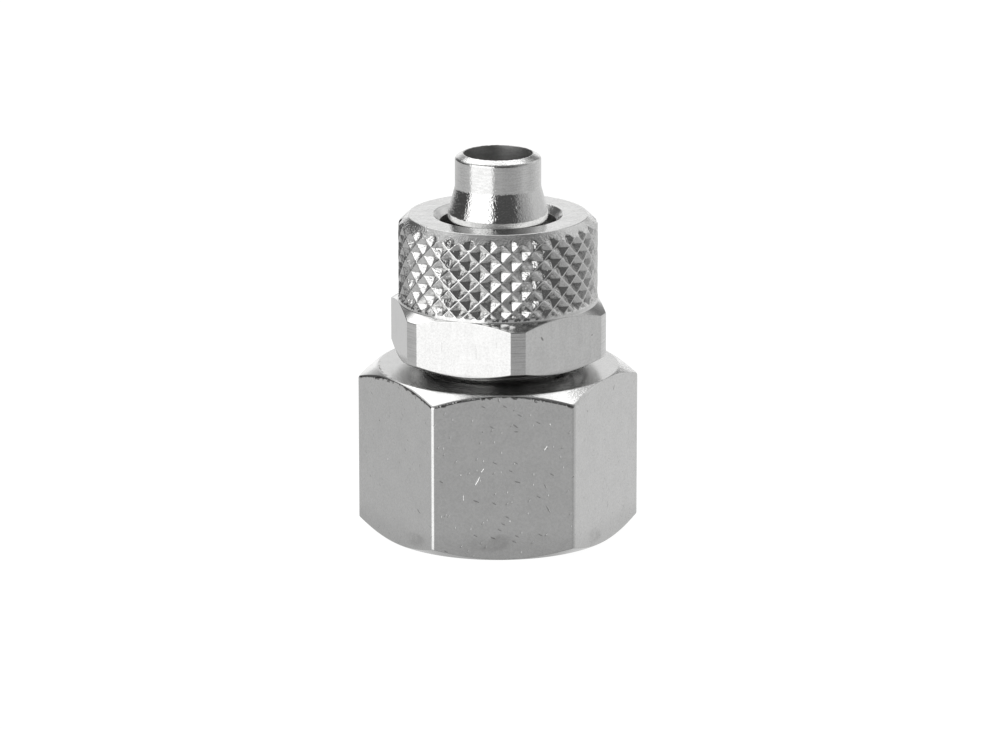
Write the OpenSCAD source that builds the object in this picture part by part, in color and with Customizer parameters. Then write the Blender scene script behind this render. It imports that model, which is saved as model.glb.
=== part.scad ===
// Push-on tube fitting, straight, with a female pipe thread.
// Two turned pieces stand on the hexagon end: the fitting body and the union nut screwed onto it.
// Units are millimetres, +Z is up, and the origin is on the axis in the plane of the lower end face.

/* [Body hexagon] */
// Width across the flats of the body's hexagon
hex_af = 17; // [16:0.5:22]
// Length of the hexagon, from the lower end face to the shoulder
hex_len = 11.8; // [11:0.1:16]
// Diameter of the flat shoulder that the upper corner chamfer leaves
shoulder_d = 16.85; // [14.5:0.05:18]
// Diameter of the flat lower end face that the lower corner chamfer leaves
end_face_d = 16.7; // [14.5:0.1:18]
// Angle of every chamfer turned on a hexagon's corners
hex_chamfer_deg = 30; // [20:1:40]

/* [Pipe thread] */
// Drilled diameter of the female pipe thread
pipe_drill_d = 11.445; // [10:0.005:12]
// Diameter of the countersink at the mouth of the pipe thread
pipe_mouth_d = 13.4; // [12.5:0.1:14.2]
// Depth of the full diameter of the pipe thread hole
pipe_depth = 9; // [7:0.1:9.5]
// Point angle of the drilled floor
drill_point_deg = 120; // [100:1:150]

/* [Nut thread] */
// Pitch diameter of the external thread on the boss
boss_d = 11.3; // [11:0.05:12]
// Radial clearance between the boss and the nut's bore
thread_gap = 0.05; // [0.02:0.01:0.1]
// Diameter of the relief groove between the shoulder and the thread
relief_d = 10.2; // [9:0.1:10.8]
// Width of the relief groove
relief_len = 1; // [0.5:0.1:1.5]
// Size of the 45 degree foot that joins the groove to the shoulder
relief_foot = 0.4; // [0.1:0.05:0.6]
// Size of the 45 degree chamfer on the boss's upper edge
boss_chamfer = 0.5; // [0.1:0.05:0.7]

/* [Stem] */
// Diameter of the bore that runs through the stem
bore_d = 4.8; // [4:0.05:5]
// Diameter at the edge where the bore opens at the tip
tip_edge_d = 4.9; // [4.85:0.05:5.2]
// Diameter of the nose, which is the tube's inner diameter
nose_d = 6; // [5.8:0.05:6.3]
// Length of the straight part of the nose
nose_len = 2.05; // [1:0.05:4]
// Axial length of the chamfer on the nose
nose_chamfer = 0.3; // [0.1:0.05:0.6]
// Width of the flat left at the tip, between the bore's edge and the nose's chamfer
tip_flat = 0.1; // [0.05:0.01:0.2]
// Diameter of the olive, which stretches the tube
olive_d = 7; // [6.6:0.05:7.4]
// Length of the cone from the nose to the olive
cone_len = 1.85; // [1:0.05:3]
// Length of the olive's rounded lip
lip_len = 0.45; // [0.3:0.05:0.8]
// Diameter of the neck under the olive
neck_d = 5.8; // [5.6:0.05:6.2]
// Length of the neck, from the boss to the olive
neck_len = 1.95; // [1:0.05:4]

/* [Union nut] */
// Width across the flats of the nut's hexagon
nut_af = 14; // [14:0.1:16]
// Diameter to which the nut's corners are turned down
nut_corner_d = 15.6; // [15:0.1:16]
// Diameter of the nut's lower face
nut_face_d = 13.9; // [13.5:0.1:14.9]
// Overall height of the nut
nut_h = 10.05; // [9:0.05:12]
// Height of the turned lands on the hexagon's corners
land_h = 3; // [1:0.1:4]
// Height of the plain rim between the hexagon and the knurl
rim_h = 0.22; // [0.1:0.01:0.5]
// Thickness of the wall at the nut's upper end
nut_wall = 2.2; // [1.5:0.05:3]
// Gap between the nut's lower face and the body's shoulder
nut_lift = 0.75; // [0.3:0.05:2]
// Axial clearance between the boss and the inner face that stops on it
seat_gap = 0.05; // [0.02:0.01:0.2]
// Size of the 45 degree countersink at the mouth of the nut's thread
nut_mouth = 0.4; // [0.1:0.05:0.6]
// Angle by which the nut's hexagon is turned against the body's
nut_turn = 37.8; // [0:0.1:60]

/* [Tube hole] */
// Diameter of the hole that the tube enters
tube_hole_d = 8.1; // [8:0.05:9.4]
// Size of the 45 degree bevels on both edges of the tube hole
tube_hole_bevel = 0.48; // [0.1:0.01:0.6]

/* [Knurl] */
// Diameter of the plain rim and of the blank for the knurl
ring_d = 13.94; // [13.5:0.02:13.98]
// Depth by which the knurl's ridges lie below the blank
knurl_drop = 0.02; // [0.01:0.01:0.1]
// Number of ridges of each hand round the ring
knurl_count = 29; // [20:1:36]
// Height of one diamond along the axis
knurl_pitch = 1.405; // [1.1:0.005:2]
// Depth of the diamond pits
knurl_depth = 0.4; // [0.2:0.01:0.5]
// Height over which the lower pits run out to the plain rim
run_out_h = 0.35; // [0.1:0.05:0.6]
// Angle round the axis of one crossing of the ridges
knurl_turn = -109.2; // [-180:0.1:180]
// Height above the nut's lower face of one crossing of the ridges
knurl_phase = 6.08; // [4:0.005:8]
// Radial size of the chamfer on the ring's upper edge
ring_chamfer = 0.72; // [0.2:0.02:1]
// Axial size of the chamfer on the ring's upper edge
ring_chamfer_h = 0.7; // [0.2:0.05:1]

/* [Hidden] */
$fn = 96;

// How far a cutting outline runs past the face it opens
cut_margin = 1;
// How far one solid runs into the next where they are fused
overlap = 0.1;
slope = tan(hex_chamfer_deg);

// Heights on the body, from the lower end face up
nut_z = hex_len + nut_lift;
nut_top = nut_z + nut_h;
ceiling_z = nut_top - nut_wall;
boss_top = ceiling_z - seat_gap;
olive_z = boss_top + neck_len;
cone_z = olive_z + lip_len;
nose_z = cone_z + cone_len;
nose_top = nose_z + nose_len;
tip_z = nose_top + nose_chamfer;

// Radii
body_corner_r = hex_af / 2 / cos(30);
pipe_r = pipe_drill_d / 2;
boss_r = boss_d / 2;
nut_bore_r = boss_r + thread_gap;
tube_hole_r = tube_hole_d / 2;
tip_r = tip_edge_d / 2 + tip_flat;

// Heights on the nut, from its lower face up
land_z = (nut_corner_d - nut_face_d) / 2 * slope;
hex_top = land_z + land_h + (nut_corner_d - ring_d) / 2 * slope;
knurl_z = hex_top + rim_h;
chamfer_z = nut_h - ring_chamfer_h;

// A regular hexagon with two flats square to Y
module hexagon(af) {
    circle(r = af / 2 / cos(30), $fn = 6);
}

// The outline that both ends of the body's hexagon are turned to
module body_blank_profile() {
    r = body_corner_r + cut_margin;
    low = (r - end_face_d / 2) * slope;
    high = hex_len - (r - shoulder_d / 2) * slope;
    polygon([
        [0, 0],
        [end_face_d / 2, 0],
        [r, low],
        [r, high],
        [shoulder_d / 2, hex_len],
        [0, hex_len]
    ]);
}

module body_hexagon() {
    intersection() {
        linear_extrude(height = hex_len) hexagon(hex_af);
        rotate_extrude() body_blank_profile();
    }
}

// Relief groove, threaded boss, neck and stem, as one turned outline
module stem_profile() {
    lip_r = lip_len / 2;
    polygon([
        [0, hex_len - overlap],
        [relief_d / 2 + relief_foot, hex_len - overlap],
        [relief_d / 2 + relief_foot, hex_len],
        [relief_d / 2, hex_len + relief_foot],
        [relief_d / 2, hex_len + relief_len],
        [boss_r, hex_len + relief_len + boss_r - relief_d / 2],
        [boss_r, boss_top - boss_chamfer],
        [boss_r - boss_chamfer, boss_top],
        [neck_d / 2, boss_top],
        [neck_d / 2, olive_z],
        [olive_d / 2 - lip_r, olive_z],
        [olive_d / 2 - lip_r, cone_z],
        [olive_d / 2, cone_z],
        [nose_d / 2, nose_z],
        [nose_d / 2, nose_top],
        [tip_r, tip_z],
        [0, tip_z]
    ]);
    // The olive's rounded lip is a half circle below the cone
    translate([olive_d / 2 - lip_r, olive_z + lip_r]) circle(r = lip_r);
    translate([olive_d / 2 - lip_r - overlap, olive_z + lip_r]) square([lip_r + overlap, lip_r]);
}

// The flow passage: mouth countersink, pipe thread hole, drilled floor, bore and tip edge
module passage_profile() {
    mouth_h = pipe_mouth_d / 2 - pipe_r;
    floor_h = (pipe_r - bore_d / 2) / tan(drill_point_deg / 2);
    edge_h = (tip_edge_d - bore_d) / 2;
    polygon([
        [0, -cut_margin],
        [pipe_mouth_d / 2 + cut_margin, -cut_margin],
        [pipe_r, mouth_h],
        [pipe_r, pipe_depth],
        [bore_d / 2, pipe_depth + floor_h],
        [bore_d / 2, tip_z - edge_h],
        [tip_edge_d / 2, tip_z],
        [tip_edge_d / 2, tip_z + cut_margin],
        [0, tip_z + cut_margin]
    ]);
}

module fitting_body() {
    color("gainsboro")
    difference() {
        union() {
            body_hexagon();
            rotate_extrude() stem_profile();
        }
        rotate_extrude() passage_profile();
    }
}

// Half of a diamond's height and half of its angle are the steps of the knurl's lattice
row_h = knurl_pitch / 2;
column_deg = 180 / knurl_count;
columns = 2 * knurl_count;
row_first = floor((hex_top - knurl_phase) / row_h);
row_last = ceil((nut_h + overlap - knurl_phase) / row_h);
rows = row_last - row_first + 1;
ridge_r = ring_d / 2 - knurl_drop;

// One lattice point: ridges cross where column and row are both even or both odd, and pits lie between
function is_crossing(c, w) = (c + w + 2 * columns) % 2 == 0;
function lattice_r(c, w) = is_crossing(c, w) ? ridge_r : ridge_r - knurl_depth;
function lattice_point(c, w) = let(r = lattice_r(c, w), a = knurl_turn + c * column_deg)
    [r * cos(a), r * sin(a), knurl_phase + w * row_h];
function lattice_index(c, row) = row * columns + c % columns;

// The two triangles of one lattice cell, split along the ridge
function cell_faces(c, row) = let(
        p = lattice_index(c, row),
        q = lattice_index(c + 1, row),
        s = lattice_index(c + 1, row + 1),
        t = lattice_index(c, row + 1)
    )
    is_crossing(c, row + row_first) ? [[p, s, q], [p, t, s]] : [[p, t, q], [q, t, s]];

// A solid column whose side is the lattice of ridges and square pits
module knurl_column() {
    points = [for (row = [0 : rows - 1]) for (c = [0 : columns - 1]) lattice_point(c, row + row_first)];
    sides = [for (row = [0 : rows - 2]) for (c = [0 : columns - 1]) each cell_faces(c, row)];
    bottom = [for (c = [0 : columns - 1]) c];
    top = [for (c = [columns - 1 : -1 : 0]) (rows - 1) * columns + c];
    polyhedron(points = points, faces = concat(sides, [bottom], [top]), convexity = 6);
}

// One level of the ring's blank, with a corner at each column of the lattice
function blank_level(r, z) = [for (c = [0 : columns - 1]) let(a = knurl_turn + c * column_deg) [r * cos(a), r * sin(a), z]];
function blank_side(c, level) = [
    lattice_index(c, level), lattice_index(c, level + 1), lattice_index(c + 1, level + 1), lattice_index(c + 1, level)
];

// A closed solid from stacked levels
module level_stack(levels) {
    last = len(levels) - 1;
    sides = [for (level = [0 : last - 1]) for (c = [0 : columns - 1]) blank_side(c, level)];
    bottom = [for (c = [0 : columns - 1]) c];
    top = [for (c = [columns - 1 : -1 : 0]) last * columns + c];
    polyhedron(points = [for (level = levels) each level], faces = concat(sides, [bottom], [top]), convexity = 2);
}

// The blank that bounds the knurl: straight from the plain rim up, then chamfered to the upper face
module ring_blank() {
    wide_r = ring_d / 2 + cut_margin;
    level_stack([
        blank_level(wide_r, hex_top + rim_h / 2),
        blank_level(wide_r, chamfer_z - cut_margin * ring_chamfer_h / ring_chamfer),
        blank_level(ring_d / 2 - ring_chamfer, nut_h)
    ]);
}

// The cone on which the lower pits run out to the plain rim
module knurl_run_out() {
    level_stack([
        blank_level(ridge_r, knurl_z - rim_h / 2),
        blank_level(ridge_r, knurl_z),
        blank_level(ridge_r - knurl_depth - overlap, knurl_z + run_out_h * (knurl_depth + overlap) / knurl_depth)
    ]);
}

// The outline that the nut's hexagon is turned to, with the plain rim above it
module nut_hexagon_profile() {
    corner_r = nut_corner_d / 2;
    polygon([
        [0, 0],
        [nut_face_d / 2, 0],
        [corner_r, land_z],
        [corner_r, land_z + land_h],
        [ring_d / 2, hex_top],
        [0, hex_top]
    ]);
}

module nut_hexagon() {
    intersection() {
        rotate([0, 0, nut_turn]) linear_extrude(height = hex_top) hexagon(nut_af);
        rotate_extrude() nut_hexagon_profile();
    }
    translate([0, 0, hex_top - overlap]) cylinder(d = ring_d, h = overlap + rim_h);
}

// The threaded bore, the inner face that stops on the boss, and the tube hole
module nut_bore_profile() {
    ceiling = nut_h - nut_wall;
    polygon([
        [0, -cut_margin],
        [nut_bore_r + nut_mouth + cut_margin, -cut_margin],
        [nut_bore_r, nut_mouth],
        [nut_bore_r, ceiling],
        [tube_hole_r + tube_hole_bevel, ceiling],
        [tube_hole_r, ceiling + tube_hole_bevel],
        [tube_hole_r, nut_h - tube_hole_bevel],
        [tube_hole_r + tube_hole_bevel + cut_margin, nut_h + cut_margin],
        [0, nut_h + cut_margin]
    ]);
}

module union_nut() {
    color("silver")
    translate([0, 0, nut_z])
    difference() {
        union() {
            nut_hexagon();
            knurl_run_out();
            intersection() {
                knurl_column();
                ring_blank();
            }
        }
        rotate_extrude() nut_bore_profile();
    }
}

fitting_body();
union_nut();
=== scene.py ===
# %% [markdown]
# # A push-on tube fitting, dressed in Blender
# The real object is two turned pieces of nickel-plated brass: a body with a hexagon end and a hose
# stem, and a union nut with a knurled ring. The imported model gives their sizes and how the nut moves.
# This lesson makes both surfaces again with numpy, so that they can carry real threads, small edge
# radii and a finely cut knurl. Then it gives them a plated metal, and paints the room that the metal
# mirrors.

# %% Load the frame
import math
import bmesh
import bpy
import numpy as np
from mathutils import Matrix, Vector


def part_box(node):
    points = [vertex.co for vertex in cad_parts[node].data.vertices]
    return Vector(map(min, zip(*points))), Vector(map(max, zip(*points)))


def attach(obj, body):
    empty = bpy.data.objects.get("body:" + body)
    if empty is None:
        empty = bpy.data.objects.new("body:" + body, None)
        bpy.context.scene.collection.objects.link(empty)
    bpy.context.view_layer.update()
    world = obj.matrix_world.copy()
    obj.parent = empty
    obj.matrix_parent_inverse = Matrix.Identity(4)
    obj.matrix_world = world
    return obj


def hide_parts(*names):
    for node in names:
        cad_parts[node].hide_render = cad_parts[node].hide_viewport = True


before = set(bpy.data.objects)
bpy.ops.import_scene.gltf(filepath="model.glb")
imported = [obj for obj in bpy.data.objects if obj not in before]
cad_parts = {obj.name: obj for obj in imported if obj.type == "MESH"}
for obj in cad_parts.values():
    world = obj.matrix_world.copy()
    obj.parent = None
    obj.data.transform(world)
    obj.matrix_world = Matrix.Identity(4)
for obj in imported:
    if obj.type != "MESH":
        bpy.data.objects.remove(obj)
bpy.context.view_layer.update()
print("nodes in the frame:", sorted(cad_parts))

# %% [markdown]
# ## The camera
# The photograph was taken with a long lens from about 40 cm, a little above the fitting and slightly to
# its left. The camera looks at a point on the axis, so its place is worked out from a distance and two
# angles. The lens is given in pixels first, because that is how it was measured, and then turned into
# millimetres.

# %% Place the camera
MM = 0.001
PICTURE_WIDTH_PX = 1000
SENSOR_MM = 36.0
LENS_PX = 5718
CAMERA_AZIMUTH = math.radians(-2.4)
CAMERA_ELEVATION = math.radians(15.1)
CAMERA_DISTANCE = 400 * MM
AIM_HEIGHT = 11.745 * MM
AIM_RIGHT = 0.137 * MM

def direction(azimuth, elevation):
    """Unit vector: azimuth 0 is towards -Y and 90 degrees towards +X, and elevation is upwards."""
    flat = math.cos(elevation)
    return np.array([math.sin(azimuth) * flat, -math.cos(azimuth) * flat, math.sin(elevation)])

def place_camera():
    """Looks back along the direction from the aim point to the camera, with the picture upright."""
    aim = np.array([AIM_RIGHT * math.cos(CAMERA_AZIMUTH), AIM_RIGHT * math.sin(CAMERA_AZIMUTH), AIM_HEIGHT])
    data = bpy.data.cameras.new("camera")
    data.sensor_width = SENSOR_MM
    data.lens = LENS_PX * SENSOR_MM / PICTURE_WIDTH_PX
    data.clip_start = 10 * MM
    camera = bpy.data.objects.new("camera", data)
    camera.location = aim + direction(CAMERA_AZIMUTH, CAMERA_ELEVATION) * CAMERA_DISTANCE
    camera.rotation_euler = (math.pi / 2 - CAMERA_ELEVATION, 0, CAMERA_AZIMUTH)
    bpy.context.collection.objects.link(camera)
    bpy.context.scene.camera = camera
    return camera

camera = place_camera()
bpy.context.scene.view_settings.view_transform = "Standard"
print(f"lens {camera.data.lens:.1f} mm at {CAMERA_DISTANCE / MM:.0f} mm")

# %% [markdown]
# ## Sizes
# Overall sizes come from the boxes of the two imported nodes, so the pieces here can't drift from them.
# The rest are the turner's sizes in millimetres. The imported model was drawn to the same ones, but for
# the threads and the edge radii, which are added here. Each size stands in the cell that needs it
# first.

# %% Read the sizes
body_low, body_high = (np.array(corner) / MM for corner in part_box("fitting_body"))
nut_low, nut_high = (np.array(corner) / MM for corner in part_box("union_nut"))

HEX_AF = body_high[1] - body_low[1]
TIP_Z = body_high[2]
NUT_Z = nut_low[2]
NUT_TOP = nut_high[2]
NUT_STAND_OFF = 0.75
SHOULDER_Z = NUT_Z - NUT_STAND_OFF
CHAMFER_SLOPE = math.tan(math.radians(30))
print(f"body {TIP_Z:.2f} mm tall, nut from {NUT_Z:.2f} to {NUT_TOP:.2f} mm")

# %% [markdown]
# ## One way to make every turned surface
# A turned piece is a closed section carried round the axis. Here the section may change with the angle,
# which turns the same grid into a hexagon, a screw thread or a knurl. Every row of the grid is a radius
# and a height for each angle, and rows are stacked until the section closes on itself. Where rows fall
# together, as at the ends of a thread, the doubled points are merged, so the surface stays closed.

# %% Angles round the axis
FULL_TURN = 2 * math.pi
SIXTH = math.pi / 3
HALF_SIXTH = math.pi / 6
CLEAR_SHARE = 0.3
CORNER_SHARES = (-1.2, -1, -0.5, 0, 0.5, 1, 1.2)
SAME_ANGLE = 1e-4

def columns(steps, breaks):
    """Angles from 0 to a full turn: even steps with the break angles added. A step nearer to a break
    than a share of a step is left out."""
    even = np.linspace(0, FULL_TURN, steps + 1)
    breaks = np.mod(breaks, FULL_TURN)
    clear = np.abs(even[:, None] - breaks[None, :]).min(axis=1) > CLEAR_SHARE * FULL_TURN / steps
    clear[[0, -1]] = True
    apart = (breaks > SAME_ANGLE) & (breaks < FULL_TURN - SAME_ANGLE)
    return np.sort(np.concatenate([even[clear], breaks[apart]]))

def corner_circle(across_flats, corner_radius):
    """The circle that rounds a hexagon's corner: its middle's distance from the axis, and the angle
    from the corner to where it touches a flat."""
    half = across_flats / 2
    centre = (half - corner_radius) / math.cos(HALF_SIXTH)
    tangent = HALF_SIXTH - math.atan(centre * math.sin(HALF_SIXTH) / half)
    return centre, tangent

def hexagon_radius(angle, across_flats, first_corner, corner_radius):
    """Distance from the axis to a hexagon: half its width over the cosine of the angle from the nearest
    flat's middle, and near a corner the far root of the circle that touches both flats."""
    from_corner = np.mod(angle - first_corner + HALF_SIXTH, SIXTH) - HALF_SIXTH
    centre, tangent = corner_circle(across_flats, corner_radius)
    flat = across_flats / 2 / np.cos(HALF_SIXTH - np.abs(from_corner))
    inside = np.maximum(corner_radius ** 2 - (centre * np.sin(from_corner)) ** 2, 0)
    arc = centre * np.cos(from_corner) + np.sqrt(inside)
    return np.where(np.abs(from_corner) < tangent, arc, flat)

def corner_angles(across_flats, first_corner, corner_radius):
    """Angles across the rounding of each corner, and one close by on the flat at either side."""
    _, tangent = corner_circle(across_flats, corner_radius)
    spread = tangent * np.array(CORNER_SHARES)
    return (first_corner + np.arange(6)[:, None] * SIXTH + spread).ravel()

print(f"a {HEX_AF:.1f} mm hexagon is {HEX_AF / math.cos(HALF_SIXTH):.2f} mm across its corners")

# %% [markdown]
# ## Soft edges
# No edge of a real part is sharp, and a soft one catches a thin line of light. A Bevel modifier could
# round the mesh, but it would also meet the hundreds of small edges of the threads and the knurl. So
# the section is rounded before it is carried round the axis, and each corner gets a size of its own.

# %% Round the corners of a section
EDGE_STEPS = (0, 0.25, 0.5, 0.75, 1)
EDGE_SHARE_MAX = 0.4
HOLD = 1.2
TINY = 1e-9

def rounded(points, angle):
    """Rows along a section. Each point is (radius, height, edge). An edge above 0 replaces the corner
    by a short parabola, which leaves the incoming line that far before the corner and joins the
    outgoing one that far after. One more row, a little further out on each line, holds the line
    straight when the surface is shaded smooth."""
    r, z = (np.stack([np.broadcast_to(p[i], angle.shape) for p in points]).astype(float) for i in (0, 1))
    rows = []
    for i, (_, _, edge) in enumerate(points):
        if edge == 0 or i in (0, len(points) - 1):
            rows.append((r[i], z[i]))
            continue
        ends = []
        for other in (i - 1, i + 1):
            dr, dz = r[other] - r[i], z[other] - z[i]
            share = np.minimum(edge / np.maximum(np.hypot(dr, dz), TINY), EDGE_SHARE_MAX)
            ends.append((r[i] + dr * share, z[i] + dz * share))
            ends.append((r[i] + dr * share * HOLD, z[i] + dz * share * HOLD))
        (r0, z0), before, (r1, z1), after = ends
        rows.append(before)
        for t in EDGE_STEPS:
            a, b, c = (1 - t) ** 2, 2 * t * (1 - t), t ** 2
            rows.append((a * r0 + b * r[i] + c * r1, a * z0 + b * z[i] + c * z1))
        rows.append(after)
    return rows

print(f"a rounded corner takes {len(EDGE_STEPS) + 2} rows")

# %% [markdown]
# ## Threads
# A screw thread is one small form that climbs by a pitch in every turn. A Screw modifier could make it,
# but its ends would stay open and stick out. Here the form is rows of the same grid that slope, clipped
# at both ends of the thread and cut down there by whatever chamfer the turner gave it.

# %% Cut a thread
def thread(angle, low, high, pitch, shares, radii, limit):
    """Rows that climb one pitch in a turn, between the heights low and high. shares are the places of
    the form's corners along one pitch and radii their radii. limit takes (radius, height) and trims the
    thread's ends."""
    turns = angle / FULL_TURN
    shares, radii = np.array(shares), np.array(radii)
    ends = [(limit(np.full_like(angle, radii.min()), z), np.full_like(angle, z)) for z in (low, high)]
    rows = []
    for step in range(-1, math.ceil((high - low) / pitch) + 1):
        for share in shares:
            z = np.clip(low + pitch * (step + share + turns), low, high)
            phase = np.mod((z - low) / pitch - turns, 1)
            r = np.interp(phase, np.append(shares, 1 + shares[0]), np.append(radii, radii[0]))
            rows.append((limit(r, z), z))
    return [ends[0]] + rows + [ends[1]]

# %% [markdown]
# ## From rows to a mesh
# All rows have the same angles, so they are one array, and its faces follow from counting. Blender then
# only has to merge the points that fall together and to mark the edges that stay sharp.

# %% Join the rows
SHARP_EDGE = math.radians(40)
SAME_PLACE = 1e-7

def build(name, angle, rows):
    """One closed mesh from the rows of a section that ends where it began. Each cell of the grid is
    split along the diagonal that lies further out, so that ridges stay whole, and points that fall
    together are merged."""
    r = np.stack([row[0] for row in rows]) * MM
    z = np.stack([row[1] for row in rows]) * MM
    points = np.stack([r * np.cos(angle), r * np.sin(angle), z], axis=-1).reshape(-1, 3)
    count, width = r.shape
    here = (np.arange(count - 1)[:, None] * width + np.arange(width - 1)).ravel()
    across, above, past = here + 1, here + width, here + width + 1
    size = r.ravel()
    rising = size[here] + size[past] >= size[across] + size[above]
    one_way = np.stack([[here, across, past], [here, past, above]])
    other_way = np.stack([[here, across, above], [across, past, above]])
    faces = np.where(rising, one_way, other_way).transpose(2, 0, 1).reshape(-1, 3)
    mesh = bpy.data.meshes.new(name)
    mesh.from_pydata(points, [], faces.tolist())
    work = bmesh.new()
    work.from_mesh(mesh)
    bmesh.ops.remove_doubles(work, verts=work.verts, dist=SAME_PLACE)
    open_edges = sum(not edge.is_manifold for edge in work.edges)
    work.to_mesh(mesh)
    work.free()
    mesh.shade_smooth()
    mesh.set_sharp_from_angle(angle=SHARP_EDGE)
    piece = bpy.data.objects.new(name, mesh)
    bpy.context.collection.objects.link(piece)
    print(f"{name}: {len(mesh.polygons)} faces, {open_edges} open edges")
    return piece

# %% [markdown]
# ## The fitting body
# The body starts as a hexagonal bar. Turning chamfers its corners and cuts the shoulder, the threaded
# boss, the neck and the stem, and drilling opens the pipe thread from below and the bore from above. On
# a hexagon a turned chamfer leaves the curved edges that every nut has. Here they come by themselves,
# because each column of the grid meets the chamfer's cone at its own height.

# %% Shape the hexagon end
HEX_CORNER_RADIUS = 0.3
END_FACE_R = 8.35
SHOULDER_R = 8.425
SHOULDER_BREAK = 0.07
SHOULDER_EDGE = 0.16
EDGE = 0.05
LEAST_CHAMFER = 0.03
PIPE_MOUTH_R = 6.7
RELIEF_R = 5.1
RELIEF_LENGTH = 1.0
RELIEF_FILLET = 0.45
BOSS_LOW = SHOULDER_Z + RELIEF_LENGTH

def hexagon_end(angle):
    """From the pipe thread's mouth up the hexagon and over the shoulder to the top of the relief
    groove. A chamfer's height is its slope times the distance from the face's rim to the side."""
    side = hexagon_radius(angle, HEX_AF, 0, HEX_CORNER_RADIUS)
    end_r = np.minimum(END_FACE_R, side - LEAST_CHAMFER)
    shoulder_r = np.minimum(SHOULDER_R, side - SHOULDER_BREAK)
    return rounded([
        (PIPE_MOUTH_R, 0, 0),
        (end_r, 0, EDGE),
        (side, (side - end_r) * CHAMFER_SLOPE, EDGE),
        (side, SHOULDER_Z - (side - shoulder_r) * CHAMFER_SLOPE, SHOULDER_EDGE),
        (shoulder_r, SHOULDER_Z, EDGE),
        (RELIEF_R, SHOULDER_Z, RELIEF_FILLET),
        (RELIEF_R, BOSS_LOW, 0),
    ], angle)

print(f"hexagon end {SHOULDER_Z:.2f} mm long, relief groove up to {BOSS_LOW:.2f} mm")

# %% [markdown]
# ## The boss under the nut
# The nut hides the boss in the photograph, but the nut comes off, so its thread is cut as well. A
# smooth cylinder would do for the picture and not for someone who opens the fitting.

# %% Cut the boss thread
M12_PITCH = 1.0
M12_CREST_R = 5.97
M12_ROOT_R = 5.39
M12_FORM = (0, 0.14, 0.44, 0.7)
BOSS_FACE_R = 5.15
NUT_WALL = 2.2
SEAT_GAP = 0.05
BOSS_TOP = NUT_TOP - NUT_WALL - SEAT_GAP

def boss_thread(angle):
    """The thread that the nut sits on, cut down by a 45 degree chamfer at each end."""
    def trim(r, z):
        return np.minimum(r, np.minimum(RELIEF_R + z - BOSS_LOW, BOSS_FACE_R + BOSS_TOP - z))

    radii = (M12_CREST_R, M12_CREST_R, M12_ROOT_R, M12_ROOT_R)
    return thread(angle, BOSS_LOW, BOSS_TOP, M12_PITCH, M12_FORM, radii, trim)

print(f"boss thread up to {BOSS_TOP:.2f} mm, {(BOSS_TOP - BOSS_LOW) / M12_PITCH:.1f} turns")

# %% [markdown]
# ## The stem
# The tube is pushed over the nose and the cone, and the nut clamps it on the olive, the widest ring of
# the stem. The tip has a narrow flat edge round the bore, and drilling left a slight burr there. All of
# this is round, so its section is a plain list of corners.

# %% Turn the stem and drill the bore
NECK_R = 2.9
OLIVE_R = 3.5
OLIVE_LIP = 0.45
CONE_LENGTH = 1.85
NOSE_R = 3.0
NOSE_LENGTH = 2.05
NOSE_CHAMFER = 0.3
TIP_FLAT = 0.05
TIP_EDGE_R = 2.42
TIP_BURR = 0.03
BURR_WAVES = (11, 29)
BORE_R = 2.4
PIPE_DEPTH = 9.0
PIPE_MINOR_R = 5.7225
PIPE_RUN_OUT = 0.8
DRILL_SLOPE = math.tan(math.radians(30))
PIPE_HIGH = PIPE_DEPTH - PIPE_RUN_OUT
CONE_HIGH = TIP_Z - NOSE_CHAMFER - NOSE_LENGTH
CONE_LOW = CONE_HIGH - CONE_LENGTH
OLIVE_LOW = CONE_LOW - OLIVE_LIP

def stem_and_bore(angle):
    """From the boss's face up the neck, olive, cone and nose, over the tip, and down the bore to the
    drill's cone and the smooth end of the pipe thread. Two waves of different counts, multiplied, give
    the tip its burr."""
    bore_low = PIPE_DEPTH + (PIPE_MINOR_R - BORE_R) * DRILL_SLOPE
    slow, fast = BURR_WAVES
    burr = TIP_BURR * (1 + np.sin(slow * angle + 1) * np.sin(fast * angle)) / 2
    return rounded([
        (BOSS_FACE_R, BOSS_TOP, 0),
        (NECK_R, BOSS_TOP, 0.2),
        (NECK_R, OLIVE_LOW, 0.1),
        (OLIVE_R, OLIVE_LOW, 0.04),
        (OLIVE_R, CONE_LOW, 0.12),
        (NOSE_R, CONE_HIGH, 0.12),
        (NOSE_R, TIP_Z - NOSE_CHAMFER, 0.12),
        (TIP_EDGE_R + TIP_FLAT, TIP_Z - 0.5 * TIP_BURR, 0.02),
        (TIP_EDGE_R, TIP_Z - burr, 0.008),
        (BORE_R, TIP_Z - 2 * (TIP_EDGE_R - BORE_R), 0.01),
        (BORE_R, bore_low, 0.1),
        (PIPE_MINOR_R, PIPE_DEPTH, 0.05),
        (PIPE_MINOR_R, PIPE_HIGH, 0),
    ], angle)

print(f"olive {2 * OLIVE_R:.1f} mm, nose {2 * NOSE_R:.1f} mm, bore {2 * BORE_R:.1f} mm across")

# %% [markdown]
# ## The pipe thread
# The other end takes a pipe. Its thread is a fine one with rounded crests, and it fades out before the
# cone of the drill, because the tap can't reach further. It shows from below only, and its mouth is
# chamfered.

# %% Cut the pipe thread
PIPE_PITCH = 1.337
PIPE_MAJOR_R = 6.5785
PIPE_FORM = (0, 0.08, 0.2, 0.42, 0.5, 0.58, 0.7, 0.92)
PIPE_FORM_DEPTHS = (0, 0.04, 0.2, 0.8, 0.96, 1, 0.8, 0.04)

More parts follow.
